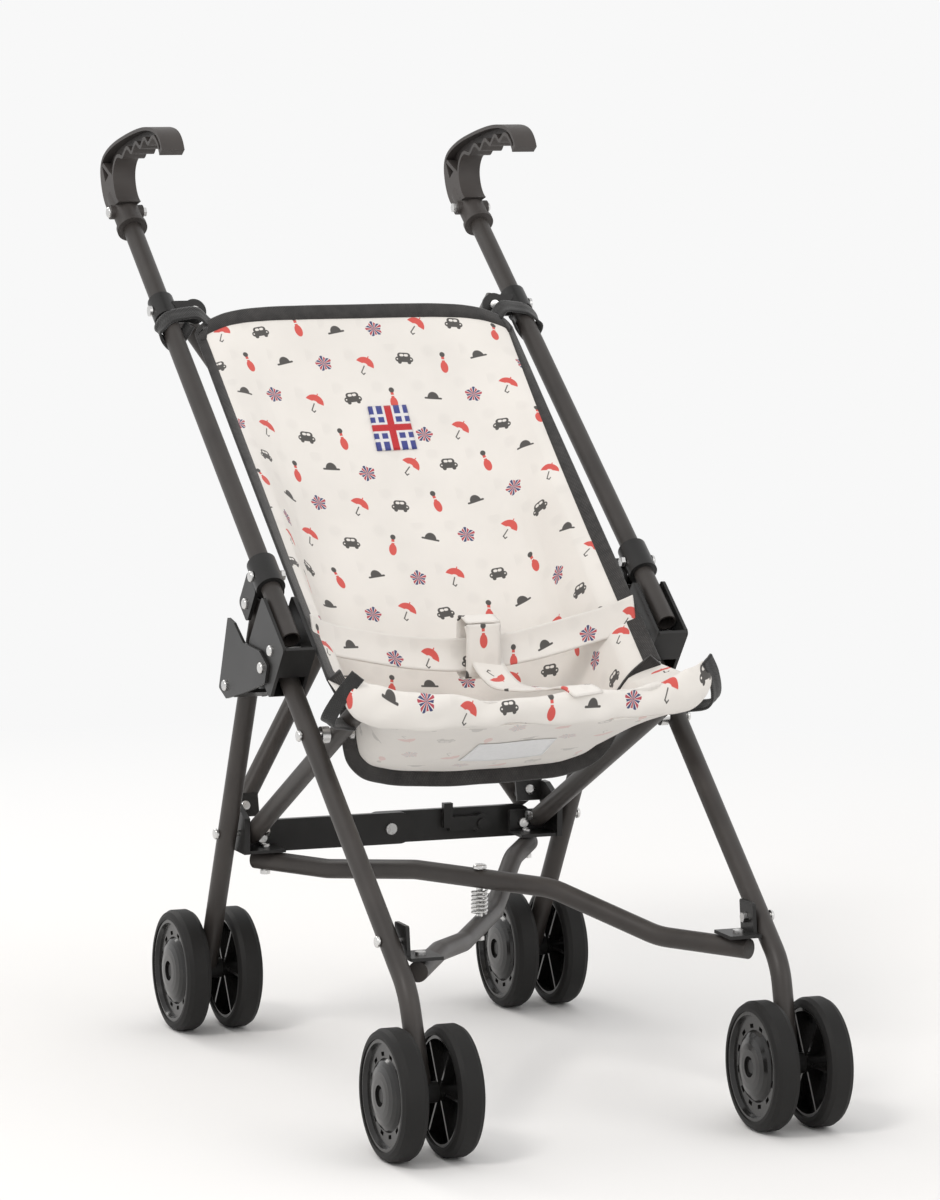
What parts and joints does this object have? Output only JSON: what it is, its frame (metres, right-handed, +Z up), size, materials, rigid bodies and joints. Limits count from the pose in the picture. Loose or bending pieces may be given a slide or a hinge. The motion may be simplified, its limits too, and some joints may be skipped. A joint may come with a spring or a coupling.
{
  "type": "doll stroller",
  "caption": "Folding umbrella-style toy stroller: tubular frame, hooked grips, scissor cross bars, twin wheels on four legs and a slung printed cotton seat with a belt.",
  "frame": {"origin": "on the floor, on the mirror plane, midway between the front and rear axles", "axes": "+Z up, -Y towards the front (the way it is pushed), +Y towards the grips, +X to the left hand of someone standing in front and facing it; sides are named by X: left is -X, right is +X"},
  "size_m": [0.2812, 0.5815, 0.562],
  "materials": {
    "tyre_rubber": "matt black moulded tyre",
    "wheel_plastic": "glossy black moulded disc",
    "zinc_steel": "bright zinc-plated",
    "frame_paint": "satin charcoal powder coat",
    "grip_plastic": "satin dark grey-brown",
    "printed_cotton": "off-white printed cotton with black binding",
    "webbing": "black woven webbing",
    "joint_plastic": "satin black"
  },
  "bodies": {
    "frame_left": {"collar_left": "joint_plastic", "handle_left": "grip_plastic", "hinge_block_left": "joint_plastic", "link_bracket_left": "joint_plastic", "pole_left": "frame_paint", "upper_bracket_left": "joint_plastic", "front_leg_left": "frame_paint", "rear_leg_left": "frame_paint", "seat_tube_left": "frame_paint", "rear_bracket_left": "joint_plastic", "front_bracket_left": "joint_plastic", "axle_sleeves_left": "joint_plastic", "axles_left": "joint_plastic", "frame_bolts_left": "zinc_steel", "seat_base": "printed_cotton", "seat_back": "printed_cotton", "side_wings": "printed_cotton", "straps": "webbing"},
    "frame_right": {"collar_right": "joint_plastic", "handle_right": "grip_plastic", "hinge_block_right": "joint_plastic", "link_bracket_right": "joint_plastic", "pole_right": "frame_paint", "upper_bracket_right": "joint_plastic", "front_leg_right": "frame_paint", "rear_leg_right": "frame_paint", "seat_tube_right": "frame_paint", "rear_bracket_right": "joint_plastic", "front_bracket_right": "joint_plastic", "axle_sleeves_right": "joint_plastic", "axles_right": "joint_plastic", "frame_bolts_right": "zinc_steel"},
    "lower_cross_a": {"lower_cross_a": "frame_paint", "cross_bolt": "zinc_steel", "cross_spring": "zinc_steel"},
    "lower_cross_b": {"lower_cross_b": "frame_paint"},
    "back_cross_a": {"back_cross_a": "frame_paint", "back_rivet": "zinc_steel"},
    "back_cross_b": {"back_cross_b": "frame_paint", "back_spacer": "joint_plastic"},
    "lock_bar_left": {"lock_bar_left": "joint_plastic", "lock_screw": "zinc_steel"},
    "lock_bar_right": {"lock_bar_right": "joint_plastic"},
    "lock_latch": {"lock_latch": "joint_plastic"},
    "front_left_inner_wheel": {"front_left_inner_tyre": "tyre_rubber", "front_left_inner_hub": "wheel_plastic"},
    "front_left_outer_wheel": {"front_left_outer_tyre": "tyre_rubber", "front_left_outer_hub": "wheel_plastic"},
    "front_right_inner_wheel": {"front_right_inner_tyre": "tyre_rubber", "front_right_inner_hub": "wheel_plastic"},
    "front_right_outer_wheel": {"front_right_outer_tyre": "tyre_rubber", "front_right_outer_hub": "wheel_plastic"},
    "rear_left_inner_wheel": {"rear_left_inner_tyre": "tyre_rubber", "rear_left_inner_hub": "wheel_plastic"},
    "rear_left_outer_wheel": {"rear_left_outer_tyre": "tyre_rubber", "rear_left_outer_hub": "wheel_plastic"},
    "rear_right_inner_wheel": {"rear_right_inner_tyre": "tyre_rubber", "rear_right_inner_hub": "wheel_plastic"},
    "rear_right_outer_wheel": {"rear_right_outer_tyre": "tyre_rubber", "rear_right_outer_hub": "wheel_plastic"}
  },
  "joints": [
    {"name": "fold", "type": "hinge", "parent": "frame_left", "child": "lower_cross_a", "pos_m": [-0.088, 0.145, 0.113], "axis": [0, 0, -1], "range_deg": [0, 20], "deforming": ["seat_base", "seat_back", "side_wings", "straps"]},
    {"name": "lower_cross_scissor", "type": "hinge", "parent": "lower_cross_a", "child": "lower_cross_b", "pos_m": [0, 0.00832, 0.1055], "axis": [0, 0, 1], "range_deg": [0, 40]},
    {"name": "right_side_hinge", "type": "hinge", "parent": "lower_cross_b", "child": "frame_right", "pos_m": [0.088, 0.145, 0.113], "axis": [0, 0, -1], "range_deg": [0, 20]},
    {"name": "back_cross_hinge", "type": "hinge", "parent": "frame_left", "child": "back_cross_a", "pos_m": [-0.096, 0.168, 0.143], "axis": [0, -0.9651, 0.262], "range_deg": [0, 18.15]},
    {"name": "back_cross_scissor", "type": "hinge", "parent": "back_cross_a", "child": "back_cross_b", "pos_m": [0, 0.20776, 0.28942], "axis": [0, 0.9651, -0.262], "range_deg": [0, 36.31]},
    {"name": "lock_left", "type": "hinge", "parent": "frame_left", "child": "lock_bar_left", "pos_m": [-0.088, 0.158, 0.126], "axis": [0, 1, 0], "range_deg": [0, 65.89]},
    {"name": "lock_right", "type": "hinge", "parent": "frame_right", "child": "lock_bar_right", "pos_m": [0.088, 0.158, 0.126], "axis": [0, -1, 0], "range_deg": [0, 65.89]},
    {"name": "latch", "type": "hinge", "parent": "lock_bar_right", "child": "lock_latch", "pos_m": [0.062, 0.158, 0.126], "axis": [0, 1, 0], "range_deg": [0, 20]},
    {"name": "front_left_inner_roll", "type": "hinge", "parent": "frame_left", "child": "front_left_inner_wheel", "pos_m": [-0.1147, -0.188, 0.038], "axis": [1, 0, 0], "continuous": true},
    {"name": "front_left_outer_roll", "type": "hinge", "parent": "frame_left", "child": "front_left_outer_wheel", "pos_m": [-0.1147, -0.188, 0.038], "axis": [1, 0, 0], "continuous": true},
    {"name": "front_right_inner_roll", "type": "hinge", "parent": "frame_right", "child": "front_right_inner_wheel", "pos_m": [0.1147, -0.188, 0.038], "axis": [1, 0, 0], "continuous": true},
    {"name": "front_right_outer_roll", "type": "hinge", "parent": "frame_right", "child": "front_right_outer_wheel", "pos_m": [0.1147, -0.188, 0.038], "axis": [1, 0, 0], "continuous": true},
    {"name": "rear_left_inner_roll", "type": "hinge", "parent": "frame_left", "child": "rear_left_inner_wheel", "pos_m": [-0.1106, 0.188, 0.038], "axis": [1, 0, 0], "continuous": true},
    {"name": "rear_left_outer_roll", "type": "hinge", "parent": "frame_left", "child": "rear_left_outer_wheel", "pos_m": [-0.1106, 0.188, 0.038], "axis": [1, 0, 0], "continuous": true},
    {"name": "rear_right_inner_roll", "type": "hinge", "parent": "frame_right", "child": "rear_right_inner_wheel", "pos_m": [0.1106, 0.188, 0.038], "axis": [1, 0, 0], "continuous": true},
    {"name": "rear_right_outer_roll", "type": "hinge", "parent": "frame_right", "child": "rear_right_outer_wheel", "pos_m": [0.1106, 0.188, 0.038], "axis": [1, 0, 0], "continuous": true}
  ],
  "couplings": [
    {"joint": "lower_cross_scissor", "follows": "fold", "ratio": 2},
    {"joint": "right_side_hinge", "follows": "fold", "ratio": 1},
    {"joint": "back_cross_hinge", "follows": "fold", "ratio": 0.9077},
    {"joint": "back_cross_scissor", "follows": "fold", "ratio": 1.8154},
    {"joint": "lock_left", "follows": "fold", "ratio": 3.2946},
    {"joint": "lock_right", "follows": "fold", "ratio": 3.2946}
  ]
}
